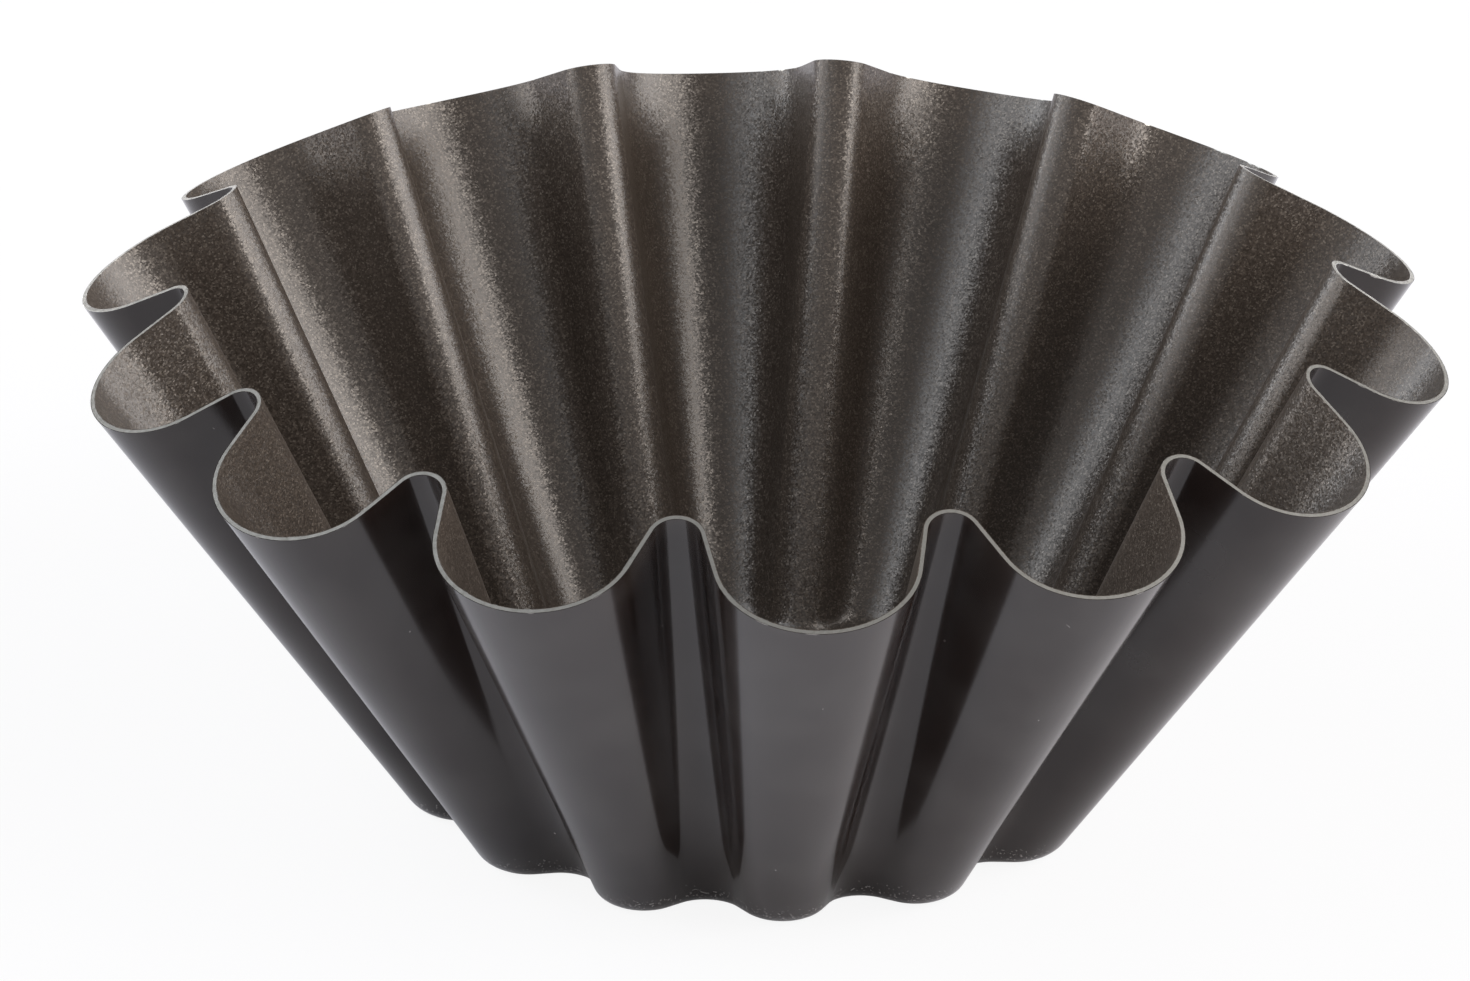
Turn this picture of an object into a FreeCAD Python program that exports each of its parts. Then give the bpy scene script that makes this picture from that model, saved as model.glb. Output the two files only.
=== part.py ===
"""A fluted brioche mould: one round steel blank pressed into a flaring, fluted cup.

The sheet carries a speckled non-stick coat inside and a smooth dark lacquer outside. Both coats went on
before the blank was cut, so the rim shows the bare steel edge between them. Each layer is the space between
two nested fluted plugs, and one cone trims all three at the rim, the way a flat round blank comes out of
the press: the ridges, which reach into the cup, stand higher there than the lobes.

Millimetres. The origin is at the middle of the base's underside, and +Z points up out of the mouth.
"""

import FreeCAD, Part
import math
import os

# Flutes: rounded lobes that bulge outwards, with tight ridges between them.
FLUTES = 14

# Outside of the wall at the base plane, where it would meet the base if the bottom edge were sharp.
BASE_TIP_R = 56.5
BASE_RIDGE_R = 49.7
BASE_LOBE_ARC_R = 5.8
BASE_RIDGE_ARC_R = 4.5
BOTTOM_EDGE_R = 6.5

# Outside of the wall at the rim. A flank's outward normal is turned this far from its lobe's own ray.
RIM_TIP_R = 110.0
RIM_TIP_Z = 76.5
RIM_RIDGE_R = 92.2
RIM_RIDGE_Z = 86.9
RIM_RIDGE_ARC_R = 3.8
RIM_FLANK_DEG = 84.5

# Layers of the sheet, from the outside in, measured square to the wall.
OUTER_LACQUER = 0.1
STEEL_SHEET = 0.6
INNER_NONSTICK = 0.1

# How far the plugs and the trimming cone run on past the rim.
OVERRUN = 4.0

# Outlines that the rounded bottom edge is lofted through.
EDGE_OUTLINES = 4

PITCH = 2 * math.pi / FLUTES
TOP_Z = RIM_RIDGE_Z + OVERRUN
TIP_LEAN = math.atan2(RIM_TIP_R - BASE_TIP_R, RIM_TIP_Z)
RIDGE_LEAN = math.atan2(RIM_RIDGE_R - BASE_RIDGE_R, RIM_RIDGE_Z)


def between(low, high, z, full_z):
    """The value at height z on the straight line from low, at the base, to high, at full_z."""
    return low + (high - low) * z / full_z


def lobe_arc_for_flank(tip_r, ridge_r, ridge_arc_r, flank):
    """Radius of the lobe arc that a flank at this angle joins smoothly to the ridge arc."""
    reach = (ridge_r + ridge_arc_r) * math.cos(flank - PITCH / 2) - tip_r * math.cos(flank) - ridge_arc_r
    return reach / (1 - math.cos(flank))


# The straight wall carried on up to the top of the plugs.
TOP_TIP_R = between(BASE_TIP_R, RIM_TIP_R, TOP_Z, RIM_TIP_Z)
TOP_RIDGE_R = between(BASE_RIDGE_R, RIM_RIDGE_R, TOP_Z, RIM_RIDGE_Z)
TOP_LOBE_ARC_R = lobe_arc_for_flank(TOP_TIP_R, TOP_RIDGE_R, RIM_RIDGE_ARC_R, math.radians(RIM_FLANK_DEG))


def at(radius, angle, z):
    """The point at a radius and an angle about the mould's axis."""
    return FreeCAD.Vector(radius * math.cos(angle), radius * math.sin(angle), z)


def fluted_outline(tip_r, ridge_r, lobe_arc_r, ridge_arc_r, z):
    """A closed level outline: lobe arcs and ridge arcs, joined by the flanks that touch both."""
    lobe_centre_r = tip_r - lobe_arc_r
    ridge_centre_r = ridge_r + ridge_arc_r
    step = at(ridge_centre_r, PITCH / 2, 0) - at(lobe_centre_r, 0, 0)
    flank = math.atan2(step.y, step.x) - math.acos((lobe_arc_r + ridge_arc_r) / step.Length)

    def lobe_end(ray, side):
        return at(lobe_centre_r, ray, z) + at(lobe_arc_r, ray + side * flank, 0)

    def ridge_end(ray, side):
        return at(ridge_centre_r, ray + side * PITCH / 2, z) - at(ridge_arc_r, ray + side * flank, 0)

    edges = []
    for flute in range(FLUTES):
        ray = flute * PITCH - math.pi / 2
        next_ray = ray + PITCH
        lobe = (lobe_end(ray, -1), at(tip_r, ray, z), lobe_end(ray, 1))
        ridge = (ridge_end(ray, 1), at(ridge_r, ray + PITCH / 2, z), ridge_end(next_ray, -1))
        edges.append(Part.Arc(*lobe).toShape())
        edges.append(Part.LineSegment(lobe[-1], ridge[0]).toShape())
        edges.append(Part.Arc(*ridge).toShape())
        edges.append(Part.LineSegment(ridge[-1], lobe_end(next_ray, -1)).toShape())
    return Part.Wire(edges)


def wall_outline(depth, z, inset=0):
    """The wall's outline at height z, this deep under the outside, drawn in level by an inset."""
    tip_r = between(BASE_TIP_R, TOP_TIP_R, z, TOP_Z) - depth / math.cos(TIP_LEAN)
    ridge_r = between(BASE_RIDGE_R, TOP_RIDGE_R, z, TOP_Z) - depth / math.cos(RIDGE_LEAN)
    lobe_arc_r = between(BASE_LOBE_ARC_R, TOP_LOBE_ARC_R, z, TOP_Z) - depth
    ridge_arc_r = between(BASE_RIDGE_ARC_R, RIM_RIDGE_ARC_R, z, TOP_Z) + depth
    return fluted_outline(tip_r - inset, ridge_r - inset, lobe_arc_r - inset, ridge_arc_r + inset, z)


def bottom_edge_outlines(depth):
    """Outlines up the rounded bottom edge, from the flat base to where the straight wall takes over."""
    edge_r = BOTTOM_EDGE_R - depth
    turn = math.pi / 2 - TIP_LEAN
    setback = edge_r * math.tan(turn / 2)
    outlines = []
    for place in range(EDGE_OUTLINES):
        angle = turn * place / (EDGE_OUTLINES - 1)
        rise = edge_r * (1 - math.cos(angle))
        inset = setback - edge_r * math.sin(angle) + rise * math.tan(TIP_LEAN)
        outlines.append(wall_outline(depth, depth + rise, inset))
    return outlines


def plug(depth):
    """A solid fluted plug, rounded at the bottom, with its faces this deep under the mould's outside."""
    edge = bottom_edge_outlines(depth)
    rounded_foot = Part.makeLoft(edge, True, False)
    straight_wall = Part.makeLoft([edge[-1], wall_outline(depth, TOP_Z)], True, True)
    return rounded_foot.fuse(straight_wall)


def under_rim():
    """Everything under the cone that the rim is cut to."""
    fall = (RIM_RIDGE_Z - RIM_TIP_Z) / (RIM_TIP_R - RIM_RIDGE_R)
    reach = TOP_TIP_R + OVERRUN
    corners = [
        FreeCAD.Vector(0, 0, -OVERRUN),
        FreeCAD.Vector(reach, 0, -OVERRUN),
        FreeCAD.Vector(reach, 0, RIM_TIP_Z - (reach - RIM_TIP_R) * fall),
        FreeCAD.Vector(0, 0, RIM_TIP_Z + RIM_TIP_R * fall),
    ]
    half_section = Part.Face(Part.makePolygon(corners + corners[:1]))
    axis = FreeCAD.Vector(0, 0, 1)
    return half_section.revolve(FreeCAD.Vector(0, 0, 0), axis, 360)


def main():
    layers = {
        "outer_lacquer_coat": OUTER_LACQUER,
        "pressed_steel_shell": STEEL_SHEET,
        "inner_nonstick_coat": INNER_NONSTICK,
    }
    os.makedirs("parts", exist_ok=True)
    trim = under_rim()
    depth = 0
    outside = plug(depth)
    for name, thickness in layers.items():
        depth += thickness
        inside = plug(depth)
        sheet = outside.cut(inside).common(trim).Solids[0]
        sheet.exportStep("parts/" + name + ".step")
        print(name, "valid", sheet.isValid(), "faces", len(sheet.Faces), "volume", round(sheet.Volume, 1))
        outside = inside


main()
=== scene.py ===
# %% [markdown]
# # A fluted brioche mould
#
# The real mould is one round steel blank, coated on both faces and pressed into a flaring cup with rounded
# flutes. The CAD frame holds its three layers at their real size: the outer lacquer, the steel sheet and the
# inner non-stick coat. This lesson rebuilds each layer as a fine, smooth mesh in the same place, gives each
# its finish, and sets up a white studio with the photograph's camera.

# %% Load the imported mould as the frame
import math

import bmesh
import bpy
from mathutils import Matrix, Vector


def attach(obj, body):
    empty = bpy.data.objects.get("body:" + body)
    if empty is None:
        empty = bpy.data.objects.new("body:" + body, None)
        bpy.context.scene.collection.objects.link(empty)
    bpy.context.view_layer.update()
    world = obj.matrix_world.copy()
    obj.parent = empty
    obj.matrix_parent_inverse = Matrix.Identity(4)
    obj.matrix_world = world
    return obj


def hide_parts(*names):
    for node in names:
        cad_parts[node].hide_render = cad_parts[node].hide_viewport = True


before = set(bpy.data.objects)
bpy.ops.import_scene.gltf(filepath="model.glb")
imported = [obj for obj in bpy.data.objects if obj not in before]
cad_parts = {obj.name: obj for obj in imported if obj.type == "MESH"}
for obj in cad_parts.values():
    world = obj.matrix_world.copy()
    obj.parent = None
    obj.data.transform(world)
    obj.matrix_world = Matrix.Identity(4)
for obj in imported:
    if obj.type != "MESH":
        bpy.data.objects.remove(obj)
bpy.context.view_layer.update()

# %% [markdown]
# ## The fluted wall
#
# Seen from above, the wall is a closed line of lobe arcs and ridge arcs, joined by the flanks that touch
# both. The same line, smaller and shallower, lies at the base, and straight rulings join the two, which is
# how a press with a fluted punch leaves the sheet. A sine wave would be shorter to write, but its ridges
# would be as round as its lobes, and here the ridges are tight. The sizes below are the CAD model's, in
# metres, so nothing has to be fitted afterwards. Only the two arcs at the base are rounder than the CAD's,
# which moves the flanks by up to 0.8 mm: with them the grooves mirror their own dark flanks further down
# towards the foot, as in the photograph.

# %% Sizes of the pressed sheet
FLUTES = 14
BASE_TIP_R = 0.0565
BASE_RIDGE_R = 0.0497
BASE_LOBE_ARC_R = 0.0072
BASE_RIDGE_ARC_R = 0.0056
BOTTOM_EDGE_R = 0.0065
RIM_TIP_R = 0.110
RIM_TIP_Z = 0.0765
RIM_RIDGE_R = 0.0922
RIM_RIDGE_Z = 0.0869
RIM_RIDGE_ARC_R = 0.0038
RIM_FLANK = math.radians(84.5)
OVERRUN = 0.004
OUTER_LACQUER = 0.0001
STEEL_SHEET = 0.0006
INNER_NONSTICK = 0.0001

PITCH = 2 * math.pi / FLUTES
TOP_Z = RIM_RIDGE_Z + OVERRUN
TIP_LEAN = math.atan2(RIM_TIP_R - BASE_TIP_R, RIM_TIP_Z)
RIDGE_LEAN = math.atan2(RIM_RIDGE_R - BASE_RIDGE_R, RIM_RIDGE_Z)
RIM_FALL = (RIM_RIDGE_Z - RIM_TIP_Z) / (RIM_TIP_R - RIM_RIDGE_R)


def between(low, high, z, full_z):
    """The value at height z on the straight line from low, at the base, to high, at full_z."""
    return low + (high - low) * z / full_z


TOP_TIP_R = between(BASE_TIP_R, RIM_TIP_R, TOP_Z, RIM_TIP_Z)
TOP_RIDGE_R = between(BASE_RIDGE_R, RIM_RIDGE_R, TOP_Z, RIM_RIDGE_Z)
top_reach = (TOP_RIDGE_R + RIM_RIDGE_ARC_R) * math.cos(RIM_FLANK - PITCH / 2) - RIM_RIDGE_ARC_R
TOP_LOBE_ARC_R = (top_reach - TOP_TIP_R * math.cos(RIM_FLANK)) / (1 - math.cos(RIM_FLANK))
print("lobe arc at the top of the wall:", round(TOP_LOBE_ARC_R * 1000, 2), "mm")

# %% Points along one flute
LOBE_STEPS = 16
FLANK_STEPS = 6
RIDGE_STEPS = 11
HALF_FLUTE = LOBE_STEPS + FLANK_STEPS + RIDGE_STEPS
FLUTE_STEPS = 2 * HALF_FLUTE


def along_half_flute(step, tip_r, ridge_r, lobe_arc_r, ridge_arc_r):
    """A point on the way from a lobe's tip, on the X axis, to the ridge beside it."""
    lobe = Vector((tip_r - lobe_arc_r, 0))
    ridge_centre_r = ridge_r + ridge_arc_r
    ridge = Vector((ridge_centre_r * math.cos(PITCH / 2), ridge_centre_r * math.sin(PITCH / 2)))
    reach = ridge - lobe
    flank = math.atan2(reach.y, reach.x) - math.acos((lobe_arc_r + ridge_arc_r) / reach.length)
    normal = Vector((math.cos(flank), math.sin(flank)))
    if step <= LOBE_STEPS:
        angle = flank * step / LOBE_STEPS
        return lobe + lobe_arc_r * Vector((math.cos(angle), math.sin(angle)))
    step -= LOBE_STEPS
    if step <= FLANK_STEPS:
        return (lobe + lobe_arc_r * normal).lerp(ridge - ridge_arc_r * normal, step / FLANK_STEPS)
    angle = flank + (PITCH / 2 - flank) * (step - FLANK_STEPS) / RIDGE_STEPS
    return ridge - ridge_arc_r * Vector((math.cos(angle), math.sin(angle)))


def flute_row(tip_r, ridge_r, lobe_arc_r, ridge_arc_r, z):
    """One flute of a level outline, from the lobe's tip on -Y to the tip of the next lobe."""
    sizes = (tip_r, ridge_r, lobe_arc_r, ridge_arc_r)
    half = [along_half_flute(step, *sizes) for step in range(HALF_FLUTE + 1)]
    mirrored = [Vector((point.x, -point.y)) for point in half]
    flute = half[:-1] + [Matrix.Rotation(PITCH, 2) @ point for point in reversed(mirrored)]
    to_front = Matrix.Rotation(-math.pi / 2, 2)
    return [(to_front @ point).to_3d() + Vector((0, 0, z)) for point in flute]


def wall_row(depth, z, inset=0):
    """The wall's row at height z, this deep under the outside, drawn in level by an inset."""
    tip_r = between(BASE_TIP_R, TOP_TIP_R, z, TOP_Z) - depth / math.cos(TIP_LEAN)
    ridge_r = between(BASE_RIDGE_R, TOP_RIDGE_R, z, TOP_Z) - depth / math.cos(RIDGE_LEAN)
    lobe_arc_r = between(BASE_LOBE_ARC_R, TOP_LOBE_ARC_R, z, TOP_Z) - depth
    ridge_arc_r = between(BASE_RIDGE_ARC_R, RIM_RIDGE_ARC_R, z, TOP_Z) + depth
    return flute_row(tip_r - inset, ridge_r - inset, lobe_arc_r - inset, ridge_arc_r + inset, z)


print("columns round the wall:", FLUTES * FLUTE_STEPS)

# %% [markdown]
# ## From base to rim
#
# Going up from the middle of the base, the rows first grow across the flat bottom, then climb the rounded
# bottom edge, then follow the straight wall. A flat blank has no more metal over a ridge than over a lobe, so
# at the rim the ridges stand higher: one cone cuts every ruling off. A boolean with a cone would cut the same
# line, but cutting the rulings themselves keeps the grid of faces clean right up to the edge.

# %% Rows from the middle of the base up to the rim
BASE_SHARES = (0, 0.25, 0.5, 0.75, 0.93)
EDGE_ROWS = 8
WALL_ROWS = 20
HALVINGS = 40


def bottom_edge_rows(depth):
    """Rows up the rounded bottom edge, from the flat base to where the straight wall takes over."""
    edge_r = BOTTOM_EDGE_R - depth
    turn = math.pi / 2 - TIP_LEAN
    setback = edge_r * math.tan(turn / 2)
    rows = []
    for row in range(EDGE_ROWS + 1):
        angle = turn * row / EDGE_ROWS
        rise = edge_r * (1 - math.cos(angle))
        inset = setback - edge_r * math.sin(angle) + rise * math.tan(TIP_LEAN)
        rows.append(wall_row(depth, depth + rise, inset))
    return rows


def cut_by_rim_cone(low, high):
    """Where the straight ruling from low to high meets the cone that the rim is cut to."""
    inside, outside = 0.0, 1.0
    for _ in range(HALVINGS):
        middle = (inside + outside) / 2
        point = low.lerp(high, middle)
        over = point.z - RIM_TIP_Z + (point.xy.length - RIM_TIP_R) * RIM_FALL
        inside, outside = (inside, middle) if over > 0 else (middle, outside)
    return low.lerp(high, inside)


def skin_rows(depth):
    """Every row of one face of the sheet, from the middle of the base to the rim."""
    edge = bottom_edge_rows(depth)
    middle = Vector((0, 0, depth))
    base = [[middle.lerp(point, share) for point in edge[0]] for share in BASE_SHARES]
    top = wall_row(depth, TOP_Z)
    rim = [cut_by_rim_cone(low, high) for low, high in zip(edge[-1], top)]
    shares = [row / WALL_ROWS for row in range(1, WALL_ROWS + 1)]
    wall = [[low.lerp(high, share) for low, high in zip(edge[-1], rim)] for share in shares]
    return base + edge + wall


print("rows from the base to the rim:", len(skin_rows(0)))

# %% [markdown]
# ## Spinning and fluting a layer
#
# A plain line spun through one flute's share of a turn gives a clean grid of faces. Each vertex then slides
# to its place on the fluted surface: its row is remembered from the line, and its column is its angle. Copies
# of the flute, turned about the axis and merged, close the skin. The line could be spun through a whole turn
# at once, but spin slows down sharply with many steps, and copies of one flute are all alike. Two skins, one
# for each face of the layer, are bridged at the rim, which leaves a closed shell. Each vertex also remembers
# how far below the rim it lies, for the worn edge of the coats.

# %% One skin of a layer
MERGE_DISTANCE = 1e-7


def spun_flute(shell, depth):
    """Adds one flute of one face of a layer to the shell and returns its vertices."""
    row_of = shell.verts.layers.int["row"]
    below_rim = shell.verts.layers.float["below_rim"]
    rows = skin_rows(depth)
    older = set(shell.verts)
    line = []
    for row in range(len(rows)):
        # The line starts off the axis, so that every vertex has an angle to read its column from.
        vertex = shell.verts.new((1 + row, 0, 0))
        vertex[row_of] = row
        line.append(vertex)
    edges = [shell.edges.new(pair) for pair in zip(line, line[1:])]
    bmesh.ops.spin(
        shell, geom=line + edges, cent=(0, 0, 0), axis=(0, 0, 1), angle=PITCH, steps=FLUTE_STEPS,
    )
    flute = [vertex for vertex in shell.verts if vertex not in older]
    for vertex in flute:
        column = round(math.atan2(vertex.co.y, vertex.co.x) / PITCH * FLUTE_STEPS)
        vertex.co = rows[vertex[row_of]][column]
        vertex[below_rim] = (rows[-1][column] - vertex.co).length
    return flute


def add_skin(shell, depth):
    """Adds one whole face of a layer to the shell: a flute and its copies, merged."""
    flute = spun_flute(shell, depth)
    faces = {face for vertex in flute for face in vertex.link_faces}
    skin = list(flute)
    for turn in range(1, FLUTES):
        copied = bmesh.ops.duplicate(shell, geom=flute + list(faces))["geom"]
        moved = [item for item in copied if isinstance(item, bmesh.types.BMVert)]
        turned = Matrix.Rotation(turn * PITCH, 3, "Z")
        bmesh.ops.rotate(shell, verts=moved, cent=(0, 0, 0), matrix=turned)
        skin += moved
    bmesh.ops.remove_doubles(shell, verts=skin, dist=MERGE_DISTANCE)


# %% Build the three layers
RIM_CORNER = math.radians(50)


def build_layer(name, outer_depth, thickness):
    """A closed layer of the sheet, from one depth under the outside to another."""
    shell = bmesh.new()
    shell.verts.layers.int.new("row")
    shell.verts.layers.float.new("below_rim")
    add_skin(shell, outer_depth)
    add_skin(shell, outer_depth + thickness)
    rims = [edge for edge in shell.edges if edge.is_boundary]
    bmesh.ops.bridge_loops(shell, edges=rims)
    bmesh.ops.recalc_face_normals(shell, faces=shell.faces)
    for face in shell.faces:
        face.smooth = True
    mesh = bpy.data.meshes.new(name)
    shell.to_mesh(mesh)
    shell.free()
    mesh.set_sharp_from_angle(angle=RIM_CORNER)
    piece = bpy.data.objects.new(name, mesh)
    bpy.context.scene.collection.objects.link(piece)
    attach(piece, "root")
    print(name, len(mesh.vertices), "vertices,", len(mesh.polygons), "faces")
    return piece


lacquer = build_layer("lacquered_outside", 0, OUTER_LACQUER)
sheet = build_layer("steel_sheet", OUTER_LACQUER, STEEL_SHEET)
nonstick = build_layer("nonstick_inside", OUTER_LACQUER + STEEL_SHEET, INNER_NONSTICK)
for piece, node_name, slot in (
    (lacquer, "outer_lacquer_coat", "outer_lacquer"),
    (sheet, "pressed_steel_shell", "bare_steel"),
    (nonstick, "inner_nonstick_coat", "inner_nonstick"),
):
    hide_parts(node_name)

# %% [markdown]
# ## Finishes
#
# Every finish is procedural and reads Object coordinates, in metres, so a flake or a scratch keeps its real
# size. A few helpers add nodes and link them, so that each finish reads as a short recipe. Building the nodes
# one by one would do the same in many more lines.

# %% Helpers that add nodes
def new_finish(name):
    """An empty material: returns it, its node tree and its Principled shader."""
    material = bpy.data.materials.new(name)
    material.use_nodes = True
    tree = material.node_tree
    return material, tree, tree.nodes["Principled BSDF"]


def node(tree, kind, inputs=None, **settings):
    """Adds a node, sets its options, and fills its inputs with values or links."""
    made = tree.nodes.new(kind)
    for key, value in settings.items():
        setattr(made, key, value)
    for key, value in (inputs or {}).items():
        if isinstance(value, bpy.types.NodeSocket):
            tree.links.new(value, made.inputs[key])
        else:
            made.inputs[key].default_value = value
    return made


def math_node(tree, operation, first, second):
    """One sum on two numbers."""
    return node(tree, "ShaderNodeMath", {0: first, 1: second}, operation=operation).outputs[0]


def vector_node(tree, operation, first, second):
    """One sum on two vectors, or on a vector and the number that scales it."""
    second_input = "Scale" if operation == "SCALE" else 1
    made = node(tree, "ShaderNodeVectorMath", {0: first, second_input: second}, operation=operation)
    gives_number = operation in ("DOT_PRODUCT", "DISTANCE")
    return made.outputs["Value" if gives_number else "Vector"]


# %% Helpers for patterns and colours
def object_place(tree):
    """Where on the mould a point lies, in metres."""
    return node(tree, "ShaderNodeTexCoord").outputs["Object"]


def noise(tree, place, per_metre, detail):
    """Soft noise with about this many patches to a metre."""
    settings = {"Vector": place, "Scale": per_metre, "Detail": detail}
    return node(tree, "ShaderNodeTexNoise", settings).outputs["Fac"]


def spread(tree, value, low, high, to_low, to_high):
    """Moves a value from one range to another and clamps it there."""
    limits = {"Value": value, "From Min": low, "From Max": high, "To Min": to_low, "To Max": to_high}
    return node(tree, "ShaderNodeMapRange", limits).outputs[0]


def ramp(tree, value, stops):
    """A colour ramp through (place, colour) stops."""
    made = node(tree, "ShaderNodeValToRGB", {"Fac": value})
    elements = made.color_ramp.elements
    while len(elements) < len(stops):
        elements.new(1)
    for element, (place, colour) in zip(elements, stops):
        element.position = place
        element.color = (*colour, 1)
    return made.outputs["Color"]


def blend(tree, share, first, second):
    """Goes from the first colour to the second as the share rises from 0 to 1."""
    mixed = node(tree, "ShaderNodeMix", {"Factor": share}, data_type="RGBA")
    # The Mix node has its colour sockets after those for numbers and vectors.
    first_colour, second_colour = mixed.inputs[6], mixed.inputs[7]
    for socket, colour in ((first_colour, first), (second_colour, second)):
        if isinstance(colour, bpy.types.NodeSocket):
            tree.links.new(colour, socket)
        else:
            socket.default_value = (*colour, 1)
    return mixed.outputs[2]


# %% [markdown]
# ### Wear
#
# Both coats were on the blank before it was cut, so along the rim they end in a thin, slightly chipped line.
# The wear is patchy: noise says how far down it reaches, and the vertex attribute says how near the rim is.
# A scratch is everything nearer to a short line than half the scratch's width. Painted wear would need a
# picture; these rules stay sharp from any distance.

# %% Wear along the rim, and scratches
RIM_WEAR = 0.0004
RIM_PATCHES = 260
CHIPS_START = 0.60
CHIPS_FULL = 0.80
SCRATCH_HALF_WIDTH = 0.00008
STEEL_COLOUR = (0.34, 0.325, 0.30)


def worn_rim(tree, place):
    """1 where the coat is chipped off the steel at the rim, else 0."""
    below = node(tree, "ShaderNodeAttribute", attribute_name="below_rim").outputs["Fac"]
    patches = noise(tree, place, RIM_PATCHES, 4)
    reach = spread(tree, patches, CHIPS_START, CHIPS_FULL, 0, RIM_WEAR)
    return math_node(tree, "GREATER_THAN", reach, below)


def scratch(tree, place, start, end):
    """1 on a short scratch from start to end, else 0."""
    start, along = Vector(start), Vector(end) - Vector(start)
    from_start = vector_node(tree, "SUBTRACT", place, start)
    share = vector_node(tree, "DOT_PRODUCT", from_start, along / along.length_squared)
    within = spread(tree, share, 0, 1, 0, 1)
    nearest = vector_node(tree, "SCALE", along, within)
    away = vector_node(tree, "DISTANCE", from_start, nearest)
    return math_node(tree, "LESS_THAN", away, SCRATCH_HALF_WIDTH)


print("chips reach", RIM_WEAR * 1000, "mm below the rim")

# %% [markdown]
# ### Inner non-stick coat
#
# The coat is a brown binder full of fine metal flakes. A cell texture gives every flake its own brightness,
# and its random colour, read as a direction, tilts the flake a little. In the dark the grain hardly shows; in
# a highlight each flake catches the light by itself, so the sheen looks grainy, as it does on the real coat.
# Plain noise would only give soft clouds. One pale scratch lies low on the wall inside.

# %% Non-stick finish
FLAKE = 0.00026
FLAKE_TILT = 0.16
FLAKE_COLOURS = (
    (0.0, (0.040, 0.0295, 0.023)),
    (0.5, (0.061, 0.0455, 0.0355)),
    (0.85, (0.095, 0.073, 0.058)),
    (1.0, (0.17, 0.14, 0.115)),
)
FLAKE_METAL = 0.25
BINDER_COLOUR = (0.050, 0.0375, 0.029)
BINDER_SHARE = 0.22
BINDER_CLOUDS = 45
BINDER_RANGE = (0.35, 0.65)
NONSTICK_ROUGHNESS = 0.30
NONSTICK_SPECULAR = 0.7
INSIDE_SCRATCH = ((0.0108, 0.0498, 0.0043), (0.0128, 0.0500, 0.0053))
INSIDE_SCRATCH_COLOUR = (0.17, 0.145, 0.12)
MIDDLE_GREY = (0.5, 0.5, 0.5)


def tilted_flakes(tree, random_colour):
    """The surface normal, tilted a little for every flake."""
    centred = vector_node(tree, "SUBTRACT", random_colour, MIDDLE_GREY)
    lean = vector_node(tree, "SCALE", centred, FLAKE_TILT)
    normal = node(tree, "ShaderNodeNewGeometry").outputs["Normal"]
    summed = vector_node(tree, "ADD", normal, lean)
    return node(tree, "ShaderNodeVectorMath", {0: summed}, operation="NORMALIZE").outputs["Vector"]


def nonstick_finish():
    material, tree, shader = new_finish("nonstick_flake_coat")
    place = object_place(tree)
    cells = node(tree, "ShaderNodeTexVoronoi", {"Vector": place, "Scale": 1 / FLAKE})
    grain = node(tree, "ShaderNodeSeparateColor", {"Color": cells.outputs["Color"]})
    flakes = ramp(tree, grain.outputs["Red"], FLAKE_COLOURS)
    cloudy = spread(tree, noise(tree, place, BINDER_CLOUDS, 3), *BINDER_RANGE, 0, BINDER_SHARE)
    coat = blend(tree, cloudy, flakes, BINDER_COLOUR)
    marked = blend(tree, scratch(tree, place, *INSIDE_SCRATCH), coat, INSIDE_SCRATCH_COLOUR)
    worn = worn_rim(tree, place)
    tree.links.new(blend(tree, worn, marked, STEEL_COLOUR), shader.inputs["Base Color"])
    tree.links.new(spread(tree, worn, 0, 1, FLAKE_METAL, 1), shader.inputs["Metallic"])
    tree.links.new(tilted_flakes(tree, cells.outputs["Color"]), shader.inputs["Normal"])
    shader.inputs["Roughness"].default_value = NONSTICK_ROUGHNESS
    shader.inputs["Specular IOR Level"].default_value = NONSTICK_SPECULAR
    return material


nonstick.data.materials.append(nonstick_finish())
print("non-stick flakes of", FLAKE * 1000, "mm")

# %% [markdown]
# ### Outer lacquer
#
# The outside is a smooth, dark, baked lacquer with a satin gloss. It mirrors the floor under the flaring wall
# and, in the narrow grooves, the flank of the next lobe. Handling leaves a thin film in smears, a few short
# scratches and scattered specks, and shelves scuff the rounded bottom edge. All of these are small changes
# of one colour, so they share one shader; layers of shaders would cost more and look much alike.

# %% Marks on the lacquer
SMEAR_PATCHES = 70
SMEAR_RANGE = (0.44, 0.64)
SMEAR_SHARE = 0.55
SMEAR_COLOUR = (0.030, 0.025, 0.022)
SPECK_SPACING = 0.009
SPECK_SIZE = 0.00016
SPECK_COLOUR = (0.20, 0.19, 0.18)
SCUFF_START = 0.003
SCUFF_HEIGHT = 0.009
SCUFF_GRIT = 2200
SCUFF_LEVELS = (0.62, 0.95)
SCRATCH_COLOUR = (0.15, 0.142, 0.134)
LACQUER_SCRATCHES = (
    ((0.0372, -0.0977, 0.0725), (0.0390, -0.0967, 0.0704)),
    ((-0.0894, -0.0368, 0.0800), (-0.0890, -0.0369, 0.0797)),
    ((0.0493, -0.0480, 0.0226), (0.0496, -0.0478, 0.0226)),
    ((0.0500, -0.0452, 0.0174), (0.0502, -0.0451, 0.0172)),
    ((0.0480, -0.0457, 0.0176), (0.0482, -0.0457, 0.0176)),
)


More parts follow.
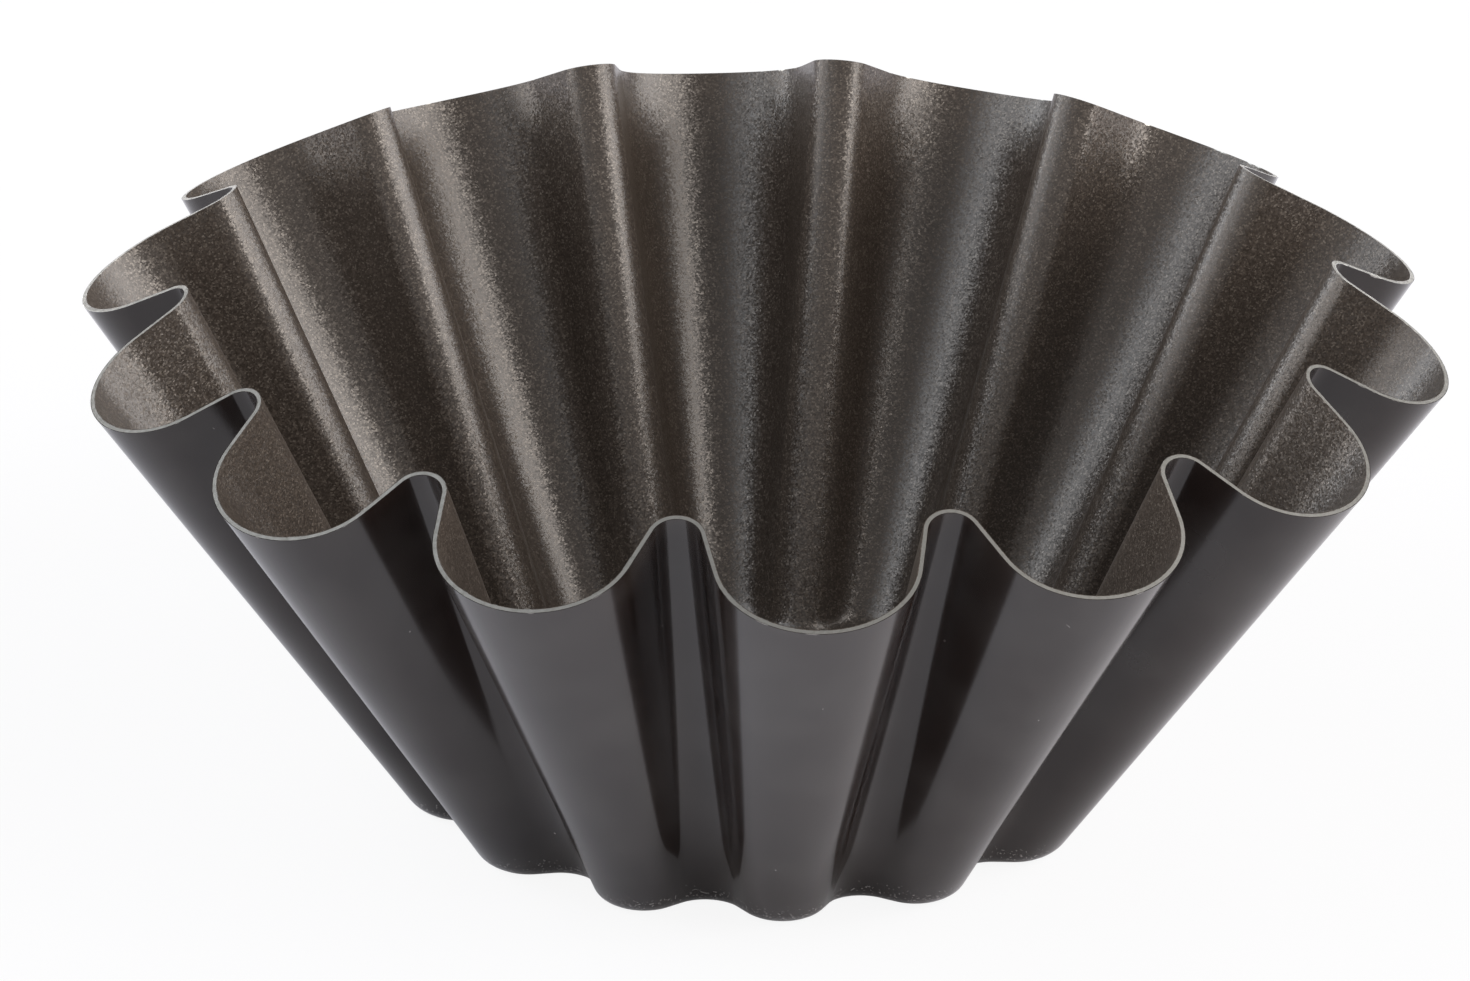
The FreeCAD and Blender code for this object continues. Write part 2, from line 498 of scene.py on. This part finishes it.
def specks_and_scuffs(tree, place):
    """1 on a speck, or on a scuff near the shelf, else 0."""
    cells = {"Vector": place, "Scale": 1 / SPECK_SPACING}
    from_middle = node(tree, "ShaderNodeTexVoronoi", cells).outputs["Distance"]
    speck = math_node(tree, "LESS_THAN", from_middle, SPECK_SIZE / SPECK_SPACING)
    height = node(tree, "ShaderNodeSeparateXYZ", {"Vector": place}).outputs["Z"]
    rarer_upwards = spread(tree, height, SCUFF_START, SCUFF_HEIGHT, *SCUFF_LEVELS)
    scuff = math_node(tree, "GREATER_THAN", noise(tree, place, SCUFF_GRIT, 2), rarer_upwards)
    return math_node(tree, "MAXIMUM", speck, scuff)


print("scuffs up to", SCUFF_HEIGHT * 1000, "mm above the shelf,", len(LACQUER_SCRATCHES), "scratches")

# %% Lacquer finish
LACQUER_CLOUDS = 30
CLOUD_RANGE = (0.3, 0.7)
LACQUER_COLOURS = (
    (0.3, (0.0092, 0.0054, 0.0042)),
    (0.7, (0.0138, 0.0084, 0.0065)),
)
LACQUER_ROUGHNESS = (0.12, 0.18)


def lacquer_finish():
    material, tree, shader = new_finish("baked_lacquer")
    place = object_place(tree)
    cloud = noise(tree, place, LACQUER_CLOUDS, 4)
    colour = ramp(tree, cloud, LACQUER_COLOURS)
    film = spread(tree, noise(tree, place, SMEAR_PATCHES, 6), *SMEAR_RANGE, 0, SMEAR_SHARE)
    colour = blend(tree, film, colour, SMEAR_COLOUR)
    colour = blend(tree, specks_and_scuffs(tree, place), colour, SPECK_COLOUR)
    for start, end in LACQUER_SCRATCHES:
        colour = blend(tree, scratch(tree, place, start, end), colour, SCRATCH_COLOUR)
    worn = worn_rim(tree, place)
    tree.links.new(blend(tree, worn, colour, STEEL_COLOUR), shader.inputs["Base Color"])
    tree.links.new(worn, shader.inputs["Metallic"])
    tree.links.new(spread(tree, cloud, *CLOUD_RANGE, *LACQUER_ROUGHNESS), shader.inputs["Roughness"])
    return material


lacquer.data.materials.append(lacquer_finish())
print("lacquer roughness", LACQUER_ROUGHNESS)

# %% [markdown]
# ### Bare steel edge
#
# The only bare metal is the sheared edge at the rim, dull and faintly streaked where the blade went through.
# It is less than a millimetre wide, so fine noise in its colour and roughness is enough, and a modelled burr
# would be lost.

# %% Steel finish
EDGE_STREAKS = 900
STREAK_RANGE = (0.3, 0.7)
EDGE_COLOURS = (
    (0.3, (0.27, 0.26, 0.24)),
    (0.7, (0.40, 0.385, 0.36)),
)
EDGE_ROUGHNESS = (0.6, 0.45)


def steel_finish():
    material, tree, shader = new_finish("sheared_steel_edge")
    streaks = noise(tree, object_place(tree), EDGE_STREAKS, 3)
    tree.links.new(ramp(tree, streaks, EDGE_COLOURS), shader.inputs["Base Color"])
    tree.links.new(spread(tree, streaks, *STREAK_RANGE, *EDGE_ROUGHNESS), shader.inputs["Roughness"])
    shader.inputs["Metallic"].default_value = 1
    return material


sheet.data.materials.append(steel_finish())
print("steel edge roughness", EDGE_ROUGHNESS)

# %% [markdown]
# ## Studio
#
# The mould stands on a white floor in a ring of large, soft panels: bright ones at the right and behind,
# weaker ones at the left, and little light from the front. So a flute shows a wide sheen where it turns to
# the right, a narrower one where it turns to the left, and a dark band between them. One big lamp would give
# every flute the same single streak. The floor and the sky are nearly plain white to the camera. In a mirror
# they keep most of their real shading, so that the lacquer darkens towards the shaded ground at the foot. The
# floor lies a hair under the base, so that the two never share a plane.

# %% White that only rays see
WHITE_TO_CAMERA = 0.9
WHITE_IN_MIRRORS = 0.12


def white_when_seen(tree, lit, glow_kind):
    """Mixes a shader with plain white, for camera rays and a little for mirrored or transmitted ones."""
    rays = node(tree, "ShaderNodeLightPath").outputs
    mirrored = math_node(tree, "MAXIMUM", rays["Is Glossy Ray"], rays["Is Transmission Ray"])
    by_mirror = math_node(tree, "MULTIPLY", mirrored, WHITE_IN_MIRRORS)
    by_camera = math_node(tree, "MULTIPLY", rays["Is Camera Ray"], WHITE_TO_CAMERA)
    share = math_node(tree, "MAXIMUM", by_camera, by_mirror)
    white = node(tree, glow_kind, {"Color": (1, 1, 1, 1), "Strength": 1}).outputs[0]
    return node(tree, "ShaderNodeMixShader", {0: share, 1: lit, 2: white}).outputs[0]


print("share of plain white to the camera", WHITE_TO_CAMERA, "and in mirrors", WHITE_IN_MIRRORS)

# %% Floor and sky
FLOOR_SIZE = 12
FLOOR_GAP = 0.0001
FLOOR_COLOUR = (0.93, 0.90, 0.95, 1)
SKY_LEVEL = 0.15


def add_floor():
    mesh = bpy.data.meshes.new("floor")
    shape = bmesh.new()
    bmesh.ops.create_grid(shape, x_segments=1, y_segments=1, size=FLOOR_SIZE / 2)
    bmesh.ops.translate(shape, verts=shape.verts, vec=(0, 0, -FLOOR_GAP))
    shape.to_mesh(mesh)
    shape.free()
    floor = bpy.data.objects.new("floor", mesh)
    bpy.context.scene.collection.objects.link(floor)
    material, tree, shader = new_finish("white_floor")
    shader.inputs["Base Color"].default_value = FLOOR_COLOUR
    shader.inputs["Roughness"].default_value = 1
    shader.inputs["Specular IOR Level"].default_value = 0
    surface = white_when_seen(tree, shader.outputs[0], "ShaderNodeEmission")
    tree.links.new(surface, tree.nodes["Material Output"].inputs["Surface"])
    mesh.materials.append(material)


def add_sky():
    world = bpy.data.worlds.new("studio_sky")
    bpy.context.scene.world = world
    world.use_nodes = True
    tree = world.node_tree
    dim = tree.nodes["Background"]
    dim.inputs["Color"].default_value = (SKY_LEVEL, SKY_LEVEL, SKY_LEVEL, 1)
    surface = white_when_seen(tree, dim.outputs[0], "ShaderNodeBackground")
    tree.links.new(surface, tree.nodes["World Output"].inputs["Surface"])


add_floor()
add_sky()
print("floor", FLOOR_SIZE, "m wide")

# %% Light panels
PANEL_DISTANCE = 2.5
WARM = (1, 0.985, 0.96)
COOL = (0.86, 0.93, 1)
PLAIN = (1, 1, 1)


def add_panel(name, azimuth, elevation, width, height, share, colour):
    """A soft panel, its place and size in degrees as seen from the mould.

    The share is what it gives to a white sheet that faces it, where 1 is plain white.
    """
    light = bpy.data.lights.new(name, "AREA")
    light.shape = "RECTANGLE"
    light.size = 2 * PANEL_DISTANCE * math.tan(math.radians(width / 2))
    light.size_y = 2 * PANEL_DISTANCE * math.tan(math.radians(height / 2))
    light.energy = share * (math.pi * PANEL_DISTANCE) ** 2
    light.color = colour
    panel = bpy.data.objects.new(name, light)
    turn, rise = math.radians(azimuth), math.radians(elevation)
    level = math.cos(rise)
    towards = Vector((math.sin(turn) * level, -math.cos(turn) * level, math.sin(rise)))
    panel.location = Vector((0, 0, RIM_TIP_Z)) + PANEL_DISTANCE * towards
    panel.rotation_euler = towards.to_track_quat("Z", "Y").to_euler()
    panel.visible_camera = False
    bpy.context.scene.collection.objects.link(panel)
    print(name, round(light.energy, 1), "W")


add_panel("right_high", 67, 39, 40, 30, 0.54, WARM)
add_panel("right_low", 58, 10, 26, 20, 0.36, WARM)
add_panel("right_side", 95, 19, 44, 24, 0.48, PLAIN)
add_panel("left_high", -88, 40, 40, 36, 0.36, COOL)
add_panel("left_front_high", -60, 50, 34, 30, 0.16, COOL)
add_panel("left_low", -80, 7, 62, 14, 0.38, PLAIN)
add_panel("left_back", -120, 18, 30, 24, 0.27, COOL)
add_panel("behind", 175, 14, 50, 26, 0.45, PLAIN)
add_panel("front", -5, 22, 80, 45, 0.19, PLAIN)

# %% [markdown]
# ## Camera
#
# The photograph was taken with a long lens, a little from the left of a lobe and looking down about 25
# degrees. The camera's turn, tilt and roll come from laying the fluted rim over the photograph's rim. They
# are written as angles about the mould, because a tracking constraint could not hold the small roll.

# %% Camera at the photograph's viewpoint
VIEW_AZIMUTH = math.radians(-5.19)
VIEW_ELEVATION = math.radians(24.71)
VIEW_ROLL = math.radians(0.87)
VIEW_DISTANCE = 1.869
VIEW_RIGHT = -0.00422
VIEW_UP = -0.02415
SENSOR_WIDTH = 36
FOCAL_PIXELS = 11699
PHOTO_WIDTH_PIXELS = 1470


def add_camera():
    flat = math.cos(VIEW_ELEVATION)
    back = Vector((
        math.sin(VIEW_AZIMUTH) * flat,
        -math.cos(VIEW_AZIMUTH) * flat,
        math.sin(VIEW_ELEVATION),
    ))
    level = Vector((math.cos(VIEW_AZIMUTH), math.sin(VIEW_AZIMUTH), 0))
    rise = back.cross(level)
    right = math.cos(VIEW_ROLL) * level + math.sin(VIEW_ROLL) * rise
    up = back.cross(right)
    lens = bpy.data.cameras.new("photo_camera")
    lens.sensor_width = SENSOR_WIDTH
    lens.lens = FOCAL_PIXELS / PHOTO_WIDTH_PIXELS * SENSOR_WIDTH
    camera = bpy.data.objects.new("photo_camera", lens)
    turned = Matrix((right, up, back)).transposed().to_4x4()
    place = Vector((0, 0, RIM_TIP_Z)) + VIEW_DISTANCE * back + VIEW_RIGHT * right + VIEW_UP * up
    camera.matrix_world = Matrix.Translation(place) @ turned
    bpy.context.scene.collection.objects.link(camera)
    bpy.context.scene.camera = camera
    print("camera", round(lens.lens), "mm lens at", [round(value, 3) for value in place])


add_camera()

# %% [markdown]
#

bpy.context.scene.view_settings.view_transform = "Standard"
